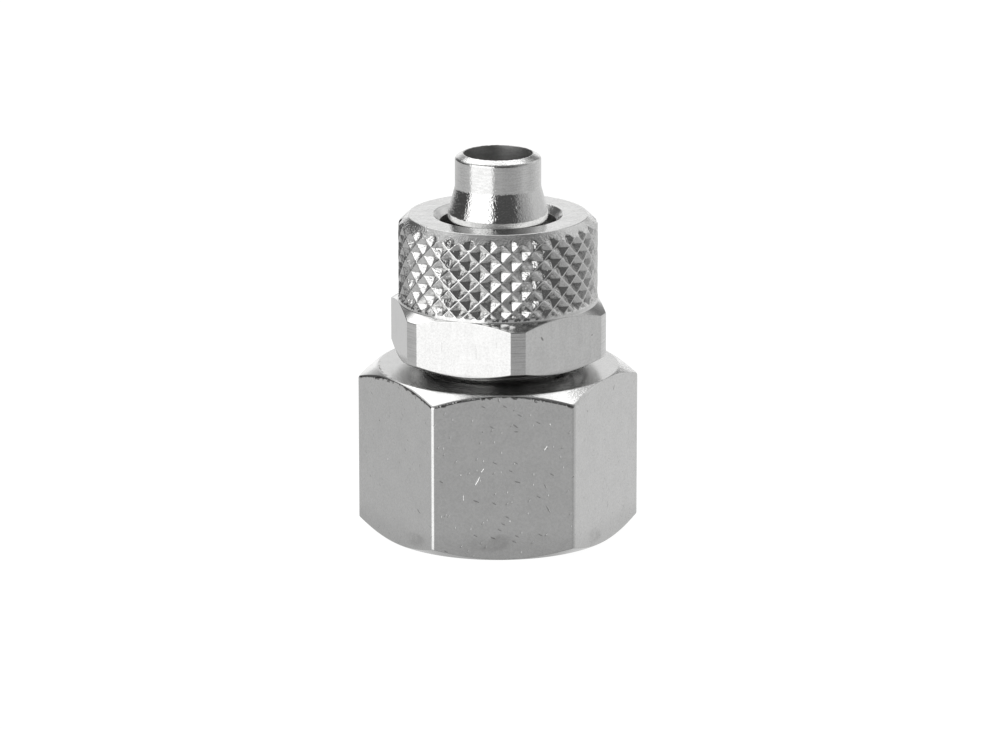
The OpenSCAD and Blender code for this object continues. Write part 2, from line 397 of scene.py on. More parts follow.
def pipe_thread(angle):
    """The thread inside the hexagon end, with rounded crests and roots. It fades out at its top, and a
    45 degree chamfer opens its mouth."""
    def trim(r, z):
        return np.maximum(np.minimum(r, PIPE_MINOR_R + PIPE_HIGH - z), PIPE_MOUTH_R - z)

    radii = PIPE_MINOR_R + (PIPE_MAJOR_R - PIPE_MINOR_R) * np.array(PIPE_FORM_DEPTHS)
    return thread(angle, 0.0, PIPE_HIGH, PIPE_PITCH, PIPE_FORM, radii, trim)

print(f"pipe thread {PIPE_HIGH:.1f} mm deep, {PIPE_HIGH / PIPE_PITCH:.1f} turns")

# %% Make the fitting body
BODY_STEPS = 216

def make_body():
    """Joins the stretches of the section: up the outside, over the tip, and down through the bore and
    the pipe thread to where it began."""
    angle = columns(BODY_STEPS, corner_angles(HEX_AF, 0, HEX_CORNER_RADIUS))
    rows = hexagon_end(angle) + boss_thread(angle) + stem_and_bore(angle) + pipe_thread(angle)[::-1]
    rows.append(rows[0])
    return build("fitting_body_turned", angle, rows)

body = make_body()

# %% [markdown]
# ## The union nut
# The nut has a hexagon whose corners are turned down, which leaves a narrow upright band at each. A
# Boolean of a prism and a cylinder would make it, but the smaller of two radii at every angle says the
# same and leaves a clean grid. Above the hexagon is a ring for the fingers.

# %% Shape the nut's hexagon
NUT_AF = 14.0
NUT_TURN = math.radians(37.8)
NUT_CORNER_R = 7.8
NUT_CORNER_RADIUS = 0.05
NUT_FACE_R = 6.95
NUT_MOUTH_R = 6.35
NUT_EDGE = 0.04
LAND_HEIGHT = 3.0
RING_R = 6.97
RIM_HEIGHT = 0.22
NUT_HEIGHT = NUT_TOP - NUT_Z
HEX_HEIGHT = (NUT_CORNER_R - NUT_FACE_R + NUT_CORNER_R - RING_R) * CHAMFER_SLOPE + LAND_HEIGHT
KNURL_START = HEX_HEIGHT + RIM_HEIGHT

def nut_hexagon(angle):
    """From the thread's mouth up the hexagon to the knurl's plain rim. The side is the hexagon or the
    turned corner, whichever is nearer to the axis. Heights in these cells are counted from the nut's
    lower face."""
    side = np.minimum(hexagon_radius(angle, NUT_AF, NUT_TURN, NUT_CORNER_RADIUS), NUT_CORNER_R)
    face_r = np.minimum(NUT_FACE_R, side - LEAST_CHAMFER)
    return rounded([
        (NUT_MOUTH_R, 0, 0),
        (face_r, 0, EDGE),
        (side, (side - face_r) * CHAMFER_SLOPE, EDGE),
        (side, HEX_HEIGHT - (side - RING_R) * CHAMFER_SLOPE, NUT_EDGE),
        (RING_R, HEX_HEIGHT, NUT_EDGE),
        (RING_R, KNURL_START, 0),
    ], angle)

print(f"small hexagon {HEX_HEIGHT:.2f} mm high, {2 * NUT_CORNER_R:.1f} mm across its turned corners")

# %% [markdown]
# ## The knurl
# A rolled knurl has two families of ridges, one of each hand, and a four-sided pit in every diamond
# between them. The depth at a point follows from two numbers, its distance from the nearest ridge of
# each family: the smaller one, times a slope, is how deep the pit is there. The rows and columns of the
# grid meet at every crossing, so the ridges come out straight. They stay sharp in the mesh, and the
# material softens them for the light.

# %% Roll the knurl
KNURL_COUNT = 29
KNURL_PITCH = 1.405
KNURL_DEPTH = 0.4
KNURL_TURN = math.radians(-109.2)
KNURL_PHASE = 6.08
KNURL_STEPS = 7
RIDGE_R = 6.95
RUN_OUT_SLOPE = 1.2
RUN_OUT_HEIGHT = 0.4
RING_CHAMFER = 0.72
RING_CHAMFER_HEIGHT = 0.7
RING_CHAMFER_SLOPE = RING_CHAMFER / RING_CHAMFER_HEIGHT
RING_CHAMFER_LOW = NUT_HEIGHT - RING_CHAMFER_HEIGHT
TOP_BREAK = 0.08
KNURL_END = NUT_HEIGHT - TOP_BREAK

def knurl_radius(angle, height):
    """Radius of the knurl. Two phases count the ridges of each hand: angle times count, plus and minus
    height over pitch. The distance of each phase from a whole number is 0 on a ridge, and the smaller
    one sets the depth."""
    across = KNURL_COUNT * (angle - KNURL_TURN) / FULL_TURN
    along = (height - KNURL_PHASE) / KNURL_PITCH
    near = [np.abs(phase - np.round(phase)) for phase in (across + along, across - along)]
    return RIDGE_R - 2 * KNURL_DEPTH * np.minimum(*near)

def knurl_heights():
    """Even rows that meet every crossing of two ridges, and twice as many where the knurl is cut."""
    step = KNURL_PITCH / 2 / KNURL_STEPS
    first = math.ceil((KNURL_START - KNURL_PHASE) / step)
    last = math.floor((KNURL_END - KNURL_PHASE) / step)
    heights = KNURL_PHASE + step * np.arange(first, last + 1)
    fine = (heights < KNURL_START + RUN_OUT_HEIGHT) | (heights > RING_CHAMFER_LOW - step)
    halves = heights[fine] + step / 2
    return np.sort(np.concatenate([heights, halves[halves < KNURL_END], [KNURL_START, KNURL_END]]))

def knurl_rows(angle):
    """The knurl's radius, but at least the run-out's at the rim and at most the turned chamfer's."""
    rows = []
    for z in knurl_heights():
        run_out = RING_R - (z - KNURL_START) * RUN_OUT_SLOPE
        chamfer = RING_R - (z - RING_CHAMFER_LOW) * RING_CHAMFER_SLOPE
        r = np.minimum(np.maximum(knurl_radius(angle, z), run_out), chamfer)
        rows.append((r, np.full_like(angle, z)))
    return rows

print(f"{2 * KNURL_COUNT} ridges cross on {len(knurl_heights())} rows")

# %% [markdown]
# ## Inside the nut
# The upper wall has a hole for the tube, bevelled on both sides, and below the wall a groove is turned
# so that the thread can be cut clean. From there the thread runs down to the nut's mouth.

# %% Bore the nut
TUBE_HOLE_R = 4.05
TUBE_HOLE_BEVEL = 0.48
TUBE_HOLE_EDGE = 0.03
NUT_RELIEF_R = 6.1
NUT_RELIEF_LENGTH = 1.2
NUT_RELIEF_EDGE = 0.1
NUT_CEILING = NUT_HEIGHT - NUT_WALL
NUT_THREAD_HIGH = NUT_CEILING - NUT_RELIEF_LENGTH
NUT_THREAD_FORM = (0, 0.26, 0.56, 0.7)
NUT_THREAD_MINOR_R = M12_ROOT_R + 0.07
NUT_THREAD_MAJOR_R = M12_CREST_R + 0.06

def top_and_hole(angle):
    """From the ring's chamfer over the top face, down the bevelled tube hole and out under its wall."""
    return rounded([
        (RING_R - RING_CHAMFER + TOP_BREAK * RING_CHAMFER_SLOPE, KNURL_END, 0),
        (RING_R - RING_CHAMFER, NUT_HEIGHT, EDGE),
        (TUBE_HOLE_R + TUBE_HOLE_BEVEL, NUT_HEIGHT, TUBE_HOLE_EDGE),
        (TUBE_HOLE_R, NUT_HEIGHT - TUBE_HOLE_BEVEL, TUBE_HOLE_EDGE),
        (TUBE_HOLE_R, NUT_CEILING + TUBE_HOLE_BEVEL, TUBE_HOLE_EDGE),
        (TUBE_HOLE_R + TUBE_HOLE_BEVEL, NUT_CEILING, TUBE_HOLE_EDGE),
        (NUT_RELIEF_R, NUT_CEILING, NUT_RELIEF_EDGE),
        (NUT_RELIEF_R, NUT_THREAD_HIGH, 0),
    ], angle)

def nut_thread(angle):
    """The mate of the boss thread, with a little play, opened by a 45 degree chamfer at each end."""
    def trim(r, z):
        return np.maximum(np.maximum(r, NUT_RELIEF_R + z - NUT_THREAD_HIGH), NUT_MOUTH_R - z)

    radii = (NUT_THREAD_MINOR_R, NUT_THREAD_MINOR_R, NUT_THREAD_MAJOR_R, NUT_THREAD_MAJOR_R)
    return thread(angle, 0.0, NUT_THREAD_HIGH, M12_PITCH, NUT_THREAD_FORM, radii, trim)

print(f"nut thread {NUT_THREAD_HIGH:.2f} mm deep under a wall of {NUT_WALL:.1f} mm")

# %% Make the union nut
LAND_EDGE_HOLD = 0.004

def make_nut():
    """Each column of the grid lies at an even step of the knurl, and three more lie close together at
    each border between a flat and a turned corner."""
    land_edge = math.acos(NUT_AF / 2 / NUT_CORNER_R)
    breaks = [NUT_TURN + HALF_SIXTH + flat * SIXTH + side * land_edge + hold * LAND_EDGE_HOLD
              for flat in range(6) for side in (-1, 1) for hold in (-1, 0, 1)]
    angle = columns(2 * KNURL_COUNT * KNURL_STEPS, np.array(breaks))
    rows = nut_hexagon(angle) + knurl_rows(angle) + top_and_hole(angle) + nut_thread(angle)[::-1]
    rows.append(rows[0])
    return build("union_nut_turned", angle, [(r, z + NUT_Z) for r, z in rows])

nut = make_nut()

# %% [markdown]
# ## Shader maths in plain Python
# A material is a graph of nodes, and long sums are hard to read there. Wire stands for one output of a
# node. Adding, multiplying or dividing two of them adds the Math node that does it, so a formula stays
# a formula. Graph adds every other node by one method, and gives short names to the ones that are used
# often.

# %% Wires
class Wire:
    """One output socket. Arithmetic on it adds Math nodes to its graph."""

    def __init__(self, graph, socket):
        self.graph = graph
        self.socket = socket

    def __add__(self, other):
        return self.graph.math("ADD", self, other)

    def __radd__(self, other):
        return self.graph.math("ADD", other, self)

    def __sub__(self, other):
        return self.graph.math("SUBTRACT", self, other)

    def __rsub__(self, other):
        return self.graph.math("SUBTRACT", other, self)

    def __mul__(self, other):
        return self.graph.math("MULTIPLY", self, other)

    def __rmul__(self, other):
        return self.graph.math("MULTIPLY", other, self)

    def __truediv__(self, other):
        return self.graph.math("DIVIDE", self, other)

    def __rtruediv__(self, other):
        return self.graph.math("DIVIDE", other, self)

# %% Graphs
def set_stops(stops, levels):
    """Gives a ramp its stops, each a position from 0 to 1 and a brightness."""
    while len(stops) < len(levels):
        stops.new(0.5)
    for stop, (position, level) in zip(stops, levels):
        stop.position = position
        stop.color = (level, level, level, 1)

class Graph:
    """A node tree that grows by calls."""

    def __init__(self, tree):
        self.tree = tree
        tree.nodes.clear()

    def node(self, kind, settings=None, inputs=None):
        """A node whose settings are set first and then its inputs, each a value or a Wire."""
        node = self.tree.nodes.new(kind)
        for name, value in (settings or {}).items():
            if name == "stops":
                set_stops(node.color_ramp.elements, value)
            else:
                setattr(node, name, value)
        for name, value in (inputs or {}).items():
            if isinstance(value, Wire):
                self.tree.links.new(value.socket, node.inputs[name])
            else:
                node.inputs[name].default_value = value
        return node

    def wire(self, kind, output=0, settings=None, inputs=None):
        return Wire(self, self.node(kind, settings, inputs).outputs[output])

    def math(self, operation, *values):
        return self.wire("ShaderNodeMath", 0, {"operation": operation}, dict(enumerate(values)))

    def scaled(self, vector, factor):
        inputs = {"Vector": vector, "Scale": factor}
        return self.wire("ShaderNodeVectorMath", 0, {"operation": "SCALE"}, inputs)

    def dot(self, vector, other):
        inputs = {0: vector, 1: other}
        return self.wire("ShaderNodeVectorMath", "Value", {"operation": "DOT_PRODUCT"}, inputs)

    def step(self, value, low, high):
        """0 below low, 1 above high and a smooth rise between. For a fall, low is above high."""
        return self.wire("ShaderNodeMapRange", 0, {"interpolation_type": "SMOOTHSTEP"},
                         {"Value": value, "From Min": low, "From Max": high})

    def xyz(self, vector):
        split = self.node("ShaderNodeSeparateXYZ", inputs={0: vector})
        return [Wire(self, output) for output in split.outputs]

    def vector(self, x, y, z):
        return self.wire("ShaderNodeCombineXYZ", 0, inputs={0: x, 1: y, 2: z})

    def blend(self, share, a, b):
        """A number from a to b. The next two do the same for colours and for vectors."""
        return self.wire("ShaderNodeMix", 0, {"data_type": "FLOAT"}, {0: share, 2: a, 3: b})

    def mix(self, share, a, b):
        return self.wire("ShaderNodeMix", 2, {"data_type": "RGBA"}, {0: share, 6: a, 7: b})

    def lean(self, share, a, b):
        return self.wire("ShaderNodeMix", 1, {"data_type": "VECTOR"}, {0: share, 4: a, 5: b})

    def noise(self, vector, scale, detail=2.0, roughness=0.5):
        return self.wire("ShaderNodeTexNoise", 0, inputs={
            "Vector": vector, "Scale": scale, "Detail": detail, "Roughness": roughness})

def new_material(name):
    material = bpy.data.materials.new(name)
    material.use_nodes = True
    return material, Graph(material.node_tree)

# %% [markdown]
# ## Where a mark is
# The photograph shows each nick at its own place, so a material needs to know where a point of the
# metal is. Object coordinates say that in metres from the fitting's origin, and they move with the
# piece when the nut comes off. Six flats round a hexagon would need six sets of sums, so they are laid
# side by side first, as if the hexagon were unrolled. One dot product then turns, stretches and moves a
# place, which keeps the graphs small.

# %% Measure a place on a piece
DEGREES = 180 / math.pi
CIRCLE_DEGREES = 360
FLAT_DEGREES = 60
FLAT_SPACING = 50.0

class Spot:
    """A point of a surface: its place and radius in millimetres, and its azimuth in degrees."""

    def __init__(self, g):
        self.place = g.scaled(g.wire("ShaderNodeTexCoord", "Object"), 1 / MM)
        self.x, self.y, self.z = g.xyz(self.place)
        self.radius = g.math("SQRT", self.x * self.x + self.y * self.y)
        self.azimuth = g.math("ARCTAN2", self.x, -1.0 * self.y) * DEGREES

def unrolled(g, spot, first_flat):
    """The six flats of a hexagon laid side by side. Flat 0 faces the azimuth first_flat, and flat n has
    the distance along it from its middle, plus n spacings, as x and the height as y. The third part is
    1, so that one dot product can turn, stretch and move a place."""
    past_edge = g.math("FLOORED_MODULO", spot.azimuth - (first_flat - FLAT_DEGREES / 2), CIRCLE_DEGREES)
    number = g.math("FLOOR", past_edge / FLAT_DEGREES)
    turn = (number * FLAT_DEGREES + first_flat) / DEGREES
    along = spot.x * g.math("COSINE", turn) + spot.y * g.math("SINE", turn)
    return g.vector(along + number * FLAT_SPACING, spot.z, 1)

def turned(g, flats, lean, length, width, x=0, y=0):
    """The distances along and across a line that leans by so many degrees through (x, y), as shares of
    a length and a width."""
    c, s = math.cos(math.radians(lean)), math.sin(math.radians(lean))
    along = g.dot(flats, (c / length, s / length, -(c * x + s * y) / length))
    across = g.dot(flats, (-s / width, c / width, (s * x - c * y) / width))
    return along, across

print(f"flats are laid {FLAT_SPACING:.0f} mm apart")

# %% [markdown]
# ## Nickel plate
# Nickel has no pattern of its own: it shows the room. What makes it look real is how its surface bends
# that picture: the grain of the plated brass, the lines of the turning tool, and the nicks that loose
# fittings give each other. Here all of these are heights in millimetres. They are added up, and one
# Bump node tilts the light by the sum. A painted picture of the scratches would be quicker, but it
# would stay as it is when the light or the view changes.

# %% Grain, streaks and turning lines
GRAIN_PER_MM = 8.0
LINES_PER_MM = 6.0
LINES_ROUND_PER_MM = 0.1
RADIUS_SHARE = 0.7

def grain(g, spot, height):
    """Fine bumps, an eighth of a millimetre apart."""
    return (g.noise(spot.place, GRAIN_PER_MM, 1.0) - 0.5) * height

def streaks(g, spot, round_axis, up):
    """Noise from -0.5 to 0.5 that changes so many times per mm round the axis and along it."""
    return g.noise(g.vector(spot.x * round_axis, spot.y * round_axis, spot.z * up), 1.0, 3.0, 0.6) - 0.5

def turning_lines(g, spot, height):
    """Noise that changes along the section of a turned piece and hardly at all round it. A share of the
    radius is added to the height, so that flat end faces get their rings too."""
    along = (spot.z + spot.radius * RADIUS_SHARE) * LINES_PER_MM
    place = g.vector(spot.x * LINES_ROUND_PER_MM, spot.y * LINES_ROUND_PER_MM, along)
    return (g.noise(place, 1.0, 3.0) - 0.5) * height

# %% Scratches and nicks
SCRATCH_RIM = (0.2, 0.05)
NICK_RIM = (1.0, 0.2)

def strewn(g, flats, lean, length, width, share):
    """1 on short scratches strewn over the flats. Each is the middle of a Voronoi cell that is
    stretched along the lean, and a cell has one when its random number is below the share."""
    along, across = turned(g, flats, lean, length, width)
    cells = g.node("ShaderNodeTexVoronoi", {"voronoi_dimensions": "2D"},
                   {"Vector": g.vector(along, across, 0), "Scale": 1.0})
    near = g.step(Wire(g, cells.outputs["Distance"]), *SCRATCH_RIM)
    number, _, _ = g.xyz(Wire(g, cells.outputs["Color"]))
    return near * g.math("LESS_THAN", number, share)

def nicks(g, flats, places):
    """1 on each nick of a list. A nick is an ellipse: flat, distance along it, height, half length,
    half width and lean in degrees."""
    total = 0
    for flat, middle, height, half_length, half_width, lean in places:
        x = middle + flat * FLAT_SPACING
        along, across = turned(g, flats, lean, half_length, half_width, x, height)
        total = g.step(along * along + across * across, *NICK_RIM) + total
    return total

# %% Tarnish and the shader
PALE_NICKEL = (0.75, 0.75, 0.745, 1)
NICKEL = (0.65, 0.65, 0.645, 1)
# The dark that grime in the marks and painted shade mix towards.
DIRT_AND_SHADE = (0.09, 0.085, 0.08, 1)
FRESH = (0.97, 0.97, 0.96, 1)
CLOUDS_PER_MM = 0.9
SPECKLES_PER_MM = 7.0
SPECKLE_SHARE = 3.0
PLATE_ROUGHNESS = 0.14

def tarnish(g, spot, extra=0):
    """The plate's own colour: soft clouds and a fine speckle between two shades of nickel."""
    cloud = g.noise(spot.place, CLOUDS_PER_MM, 3.0) - 0.5
    speckle = g.noise(spot.place, SPECKLES_PER_MM, 3.0, 0.7) - 0.5
    return g.mix(cloud + speckle * SPECKLE_SHARE + extra + 0.5, NICKEL, PALE_NICKEL)

def finish_nickel(g, tone, roughness, height, normal=None):
    """Nickel whose base colour is the tone. The height is in mm. A normal other than the mesh's own
    comes in by the Bump node too."""
    inputs = {"Strength": 1.0, "Distance": MM, "Height": height}
    if normal is not None:
        inputs["Normal"] = normal
    bump = g.wire("ShaderNodeBump", 0, inputs=inputs)
    shader = g.wire("ShaderNodeBsdfPrincipled", 0, inputs={
        "Base Color": tone, "Metallic": 1.0, "Roughness": roughness, "Normal": bump})
    g.node("ShaderNodeOutputMaterial", inputs={0: shader})

print(f"grain every {1 / GRAIN_PER_MM:.3f} mm, tool lines every {1 / LINES_PER_MM:.2f} mm")

# %% [markdown]
# ## The body's finish
# The hexagon was drawn as a bar, so its flats are smooth and carry the marks of handling. The stem was
# turned and tumbled, which left its cone grainy. Where the turning tool ran out over the flats it
# pushed up a thin burr, a small bump here; its broken dark line along the arcs is painted shade in the
# colour. All of this is one plate on one piece of metal, so it is one material, and masks worked out
# from the turner's sizes say which face a point is on.

# %% Tell the body's faces apart
FADE = 0.1
HALF_FADE = FADE / 2
HEX_INSIDE_R = 8.2
TIP_INSIDE_R = 2.45
CHAMFER_FADE = 0.02

class BodyFaces:
    """Masks, each 1 on one face of the body and 0 elsewhere. The flats lie where the height is clear of
    both turned chamfers."""

    def __init__(self, g, spot):
        above_end = spot.z - (spot.radius - END_FACE_R) * CHAMFER_SLOPE
        self.below_shoulder = SHOULDER_Z - (spot.radius - SHOULDER_R) * CHAMFER_SLOPE - spot.z
        self.hexagon = g.step(spot.radius, HEX_INSIDE_R, HEX_INSIDE_R + FADE)
        clear = g.step(above_end, 0.0, HALF_FADE) * g.step(self.below_shoulder, 0.0, HALF_FADE)
        self.flat = clear * self.hexagon
        above_nut = g.step(spot.z, NUT_TOP, NUT_TOP + FADE)
        above_olive = g.step(spot.z, CONE_LOW - HALF_FADE, CONE_LOW + HALF_FADE)
        self.cone = above_nut * above_olive * g.step(spot.z, CONE_HIGH + HALF_FADE, CONE_HIGH - HALF_FADE)
        self.nose = g.step(spot.z, CONE_HIGH - HALF_FADE, CONE_HIGH + HALF_FADE)
        tip_low = TIP_Z - NOSE_CHAMFER - HALF_FADE
        outside_bore = g.step(spot.radius, TIP_INSIDE_R, TIP_INSIDE_R + FADE)
        self.tip = g.step(spot.z, tip_low - FADE, tip_low) * outside_bore
        above_shoulder = g.step(spot.z, SHOULDER_Z - FADE, SHOULDER_Z)
        self.hidden = above_shoulder * g.step(spot.z, OLIVE_LOW, OLIVE_LOW - FADE)
        self.bore = g.step(spot.radius, BORE_R + FADE, BORE_R + HALF_FADE)
        self.chamfer = g.step(self.below_shoulder, CHAMFER_FADE, -CHAMFER_FADE) * self.hexagon

# %% [markdown]
# ## Marks on the body
# The nicks of the photograph are listed one by one, because a buyer would know the piece by them. A
# bright nick shows fresh metal, and a dark one has filled with dirt. Finer scratches are too many to
# list, so a Voronoi pattern strews them, in three directions.

# %% List the body's marks
# A nick is flat, distance along it, height, half length, half width and lean. Flat 0 faces the camera,
# flat 1 is the next one on the right and flat 5 the next one on the left. Fine scratches have a lean,
# the length and width of a cell, and the share of cells that have one. Lengths are in mm and leans in
# degrees.
BRIGHT_NICKS = [
    (0, -1.45, 6.50, 0.22, 0.045, 53), (0, -1.80, 5.75, 0.42, 0.07, 62), (0, 2.90, 8.05, 0.24, 0.06, 55),
    (0, -2.95, 6.20, 0.07, 0.05, 0), (0, -2.75, 4.55, 0.24, 0.04, 90), (0, 3.20, 9.75, 0.08, 0.06, 90),
    (0, 0.45, 2.85, 0.08, 0.05, 80), (5, -0.90, 5.95, 0.11, 0.05, 80),
]
DARK_NICKS = [
    (0, 0.85, 9.65, 0.27, 0.05, -38), (0, 0.90, 9.25, 0.16, 0.045, 0), (0, 1.00, 5.65, 0.26, 0.05, -16),
    (0, -1.85, 4.30, 0.27, 0.05, -22), (0, 2.90, 5.35, 0.24, 0.05, -60), (0, 3.10, 3.70, 0.40, 0.055, -60),
    (0, -0.70, 1.65, 0.24, 0.05, -25), (0, -1.40, 9.25, 0.07, 0.05, 10), (5, -2.80, 7.20, 0.12, 0.05, -78),
    (5, 1.40, 7.20, 0.12, 0.06, -55), (5, 3.30, 6.50, 0.16, 0.05, 90), (5, 3.15, 3.20, 0.34, 0.05, -30),
    (5, -2.00, 8.50, 0.10, 0.05, -35), (1, -3.00, 10.20, 0.13, 0.07, -50), (1, 0.25, 2.65, 0.38, 0.04, 90),
    (1, 1.10, 10.90, 0.26, 0.10, 65), (5, 2.78, 11.27, 0.20, 0.11, -62), (5, -1.90, 11.62, 0.16, 0.08, -10),
    (0, -0.30, 11.50, 0.18, 0.07, -70), (0, 2.25, 11.36, 0.16, 0.07, -12),
]
STEM_DING = [(0, 1.27, 23.73, 0.17, 0.13, 0)]
FINE_SCRATCHES = [(-28, 1.3, 0.3, 0.09), (50, 1.1, 0.3, 0.11), (85, 0.7, 0.3, 0.06)]
SMUDGES = [(0, -0.80, 1.25, 1.8, 0.7, 6), (5, 2.60, 1.00, 1.8, 0.6, 5), (1, -2.20, 0.90, 1.8, 0.6, -5)]
SMUDGES_PER_MM = 0.8
SMUDGE_SHADES = (0.3, 0.75)
BURR_WIDTH = 0.2
BURR_EDGE = 0.03
BURR_START = 0.005
BURR_LEFT = (-100, -92)
BURR_RIGHT = (34, 26)
BURR_BREAKS_PER_MM = 1.9
BURR_BREAKS = (0.42, 0.62)

class BodyMarks:
    """Masks, each 1 on one kind of mark. The burr is a band just below the upper chamfer, on the flats
    in front, broken by noise. It raises the burr a little and darkens it as painted shade."""

    def __init__(self, g, spot, faces):
        flats = unrolled(g, spot, 0)
        self.dark = nicks(g, flats, DARK_NICKS) * faces.flat
        self.bright = nicks(g, flats, BRIGHT_NICKS) * faces.flat
        self.scratches = sum(strewn(g, flats, *scratch) for scratch in FINE_SCRATCHES) * faces.flat
        broken = g.step(g.noise(spot.place, BURR_BREAKS_PER_MM, 3.0, 0.6), *BURR_BREAKS)
        front = g.step(spot.azimuth, *BURR_RIGHT) * g.step(spot.azimuth, *BURR_LEFT)
        low = g.step(faces.below_shoulder - broken * BURR_WIDTH, BURR_EDGE, 0.0)
        burr = low * g.step(faces.below_shoulder, BURR_START, BURR_EDGE)
        self.burr = burr * broken * front * faces.hexagon
        self.ding = nicks(g, flats, STEM_DING) * faces.cone
        cloudy = g.step(g.noise(spot.place, SMUDGES_PER_MM, 4.0, 0.6), *SMUDGE_SHADES)
        self.smudge = nicks(g, flats, SMUDGES) * cloudy

print(f"{len(BRIGHT_NICKS)} bright nicks and {len(DARK_NICKS)} dark ones on the hexagon")

# %% Add up the body's heights
CONE_GRAIN = 0.017
NOSE_GRAIN = 0.005
TIP_GRAIN = 0.008
ROUGH_GRAIN = 0.035
PLAIN_GRAIN = 0.0025
ROUGH_LEFT = (28, 36)
ROUGH_RIGHT = (110, 90)
BODY_LINES = 0.003
DARK_DEPTH = 0.006
BRIGHT_DEPTH = 0.014
SCRATCH_DEPTH = 0.007
BURR_HEIGHT = 0.01
DING_DEPTH = 0.03

def body_height(g, spot, faces, marks):
    """The sum in mm of the grain, the lines of the tool on everything turned that shows, and the marks.
    The chamfer's right side was rubbed rough."""
    rough = faces.chamfer * (g.step(spot.azimuth, *ROUGH_LEFT) * g.step(spot.azimuth, *ROUGH_RIGHT))
    coarse = faces.cone * CONE_GRAIN + faces.nose * NOSE_GRAIN + faces.tip * TIP_GRAIN + rough * ROUGH_GRAIN
    height = grain(g, spot, coarse + PLAIN_GRAIN)
    height = height + turning_lines(g, spot, (1 - faces.flat) * (1 - faces.hidden) * BODY_LINES)
    height = height - marks.dark * DARK_DEPTH - marks.bright * BRIGHT_DEPTH
    height = height - marks.scratches * SCRATCH_DEPTH + marks.burr * BURR_HEIGHT
    return height - marks.ding * DING_DEPTH

# %% Colour the body
TOOL_STREAKS = (1.2, 12)
NOSE_STREAKS = 4.0
GROOVE_R = (5.8, 5.4)
FOOT_Z = (2.6, 0.4)
# The burr's broken dark line is painted shade.
BURR_SHADE = 0.75
DARK_DIRT = 0.35
SCRATCH_DIRT = 0.1
SMUDGE_DIRT = 0.25
# Painted shade in the groove under the nut.
GROOVE_SHADE = 0.2
# The hexagon is made darker towards its foot.
FOOT_DARKENING = 0.13
CONE_POLISH = 0.07
HIDDEN_HAZE = 0.08
BORE_HAZE = 0.2

def body_tone(g, spot, faces, marks):
    """The tarnished plate, darker by grime in the nicks, scratches and smudges, by painted shade along
    the burr and in the groove under the nut, and towards the foot, with fresh metal in the bright nicks."""
    tone = tarnish(g, spot, streaks(g, spot, *TOOL_STREAKS) * (faces.nose * NOSE_STREAKS))
    # Painted shade: the groove under the nut is made darker.
    groove = g.step(spot.radius, *GROOVE_R) * faces.hidden
    # Darker towards the foot of the hexagon.
    foot = g.step(spot.z, *FOOT_Z) * faces.hexagon
    dirt_and_shade = marks.burr * BURR_SHADE + marks.dark * DARK_DIRT + marks.scratches * SCRATCH_DIRT
    dirt_and_shade = dirt_and_shade + marks.smudge * SMUDGE_DIRT + groove * GROOVE_SHADE + foot * FOOT_DARKENING
    return g.mix(marks.bright, g.mix(dirt_and_shade, tone, DIRT_AND_SHADE), FRESH)

def body_nickel():
    """One plate for the whole body: smoother on the cone, hazier under the nut and in the bore."""
    material, g = new_material("body_nickel_plate")
    spot = Spot(g)
    faces = BodyFaces(g, spot)
    marks = BodyMarks(g, spot, faces)
    height = body_height(g, spot, faces, marks)
    tone = body_tone(g, spot, faces, marks)
    roughness = PLATE_ROUGHNESS - faces.cone * CONE_POLISH + faces.hidden * HIDDEN_HAZE
    finish_nickel(g, tone, roughness + faces.bore * BORE_HAZE, height)
    print(f"{material.name}: {len(material.node_tree.nodes)} nodes")
    return material

body.data.materials.append(body_nickel())

# %% [markdown]
# ## The nut's finish
# The knurl is rolled, so its ridges are pressed flat and bright while the walls of its pits stay
# grainy. On the ridges the normal leans back towards the one of a smooth ring, which gives each a thin
# line of light. To bevel hundreds of ridges in the mesh would cost far more triangles for the same
# line. The turned corners of the hexagon show the tool's lines, and its flats the grain of the drawn
# bar.

# %% Tell the nut's faces apart
RING_FADE = 0.06
KNURL_INSIDE_R = 6.4
NUT_HEX_INSIDE_R = 6.9
KNURL_Z = NUT_Z + KNURL_START
RIDGE_SHARE = 0.05
RIDGE_CREST = 0.3
WEAR_PER_MM = 1.1
WEAR = (0.3, 0.6)
LEAST_WEAR = 0.3
PIT_SHARES = (0.3, 0.5)
UNDERSIDE_Z = (NUT_Z + 0.35, NUT_Z + 0.1)
TOP_FACE_Z = (NUT_TOP - 0.06, NUT_TOP - 0.03)
HOLE_R = (TUBE_HOLE_R + 0.06, TUBE_HOLE_R + 0.03)
HOLE_Z = (NUT_TOP - 3.0, NUT_TOP - 2.9)
LAND_R = (NUT_CORNER_R - 0.03, NUT_CORNER_R - 0.01)

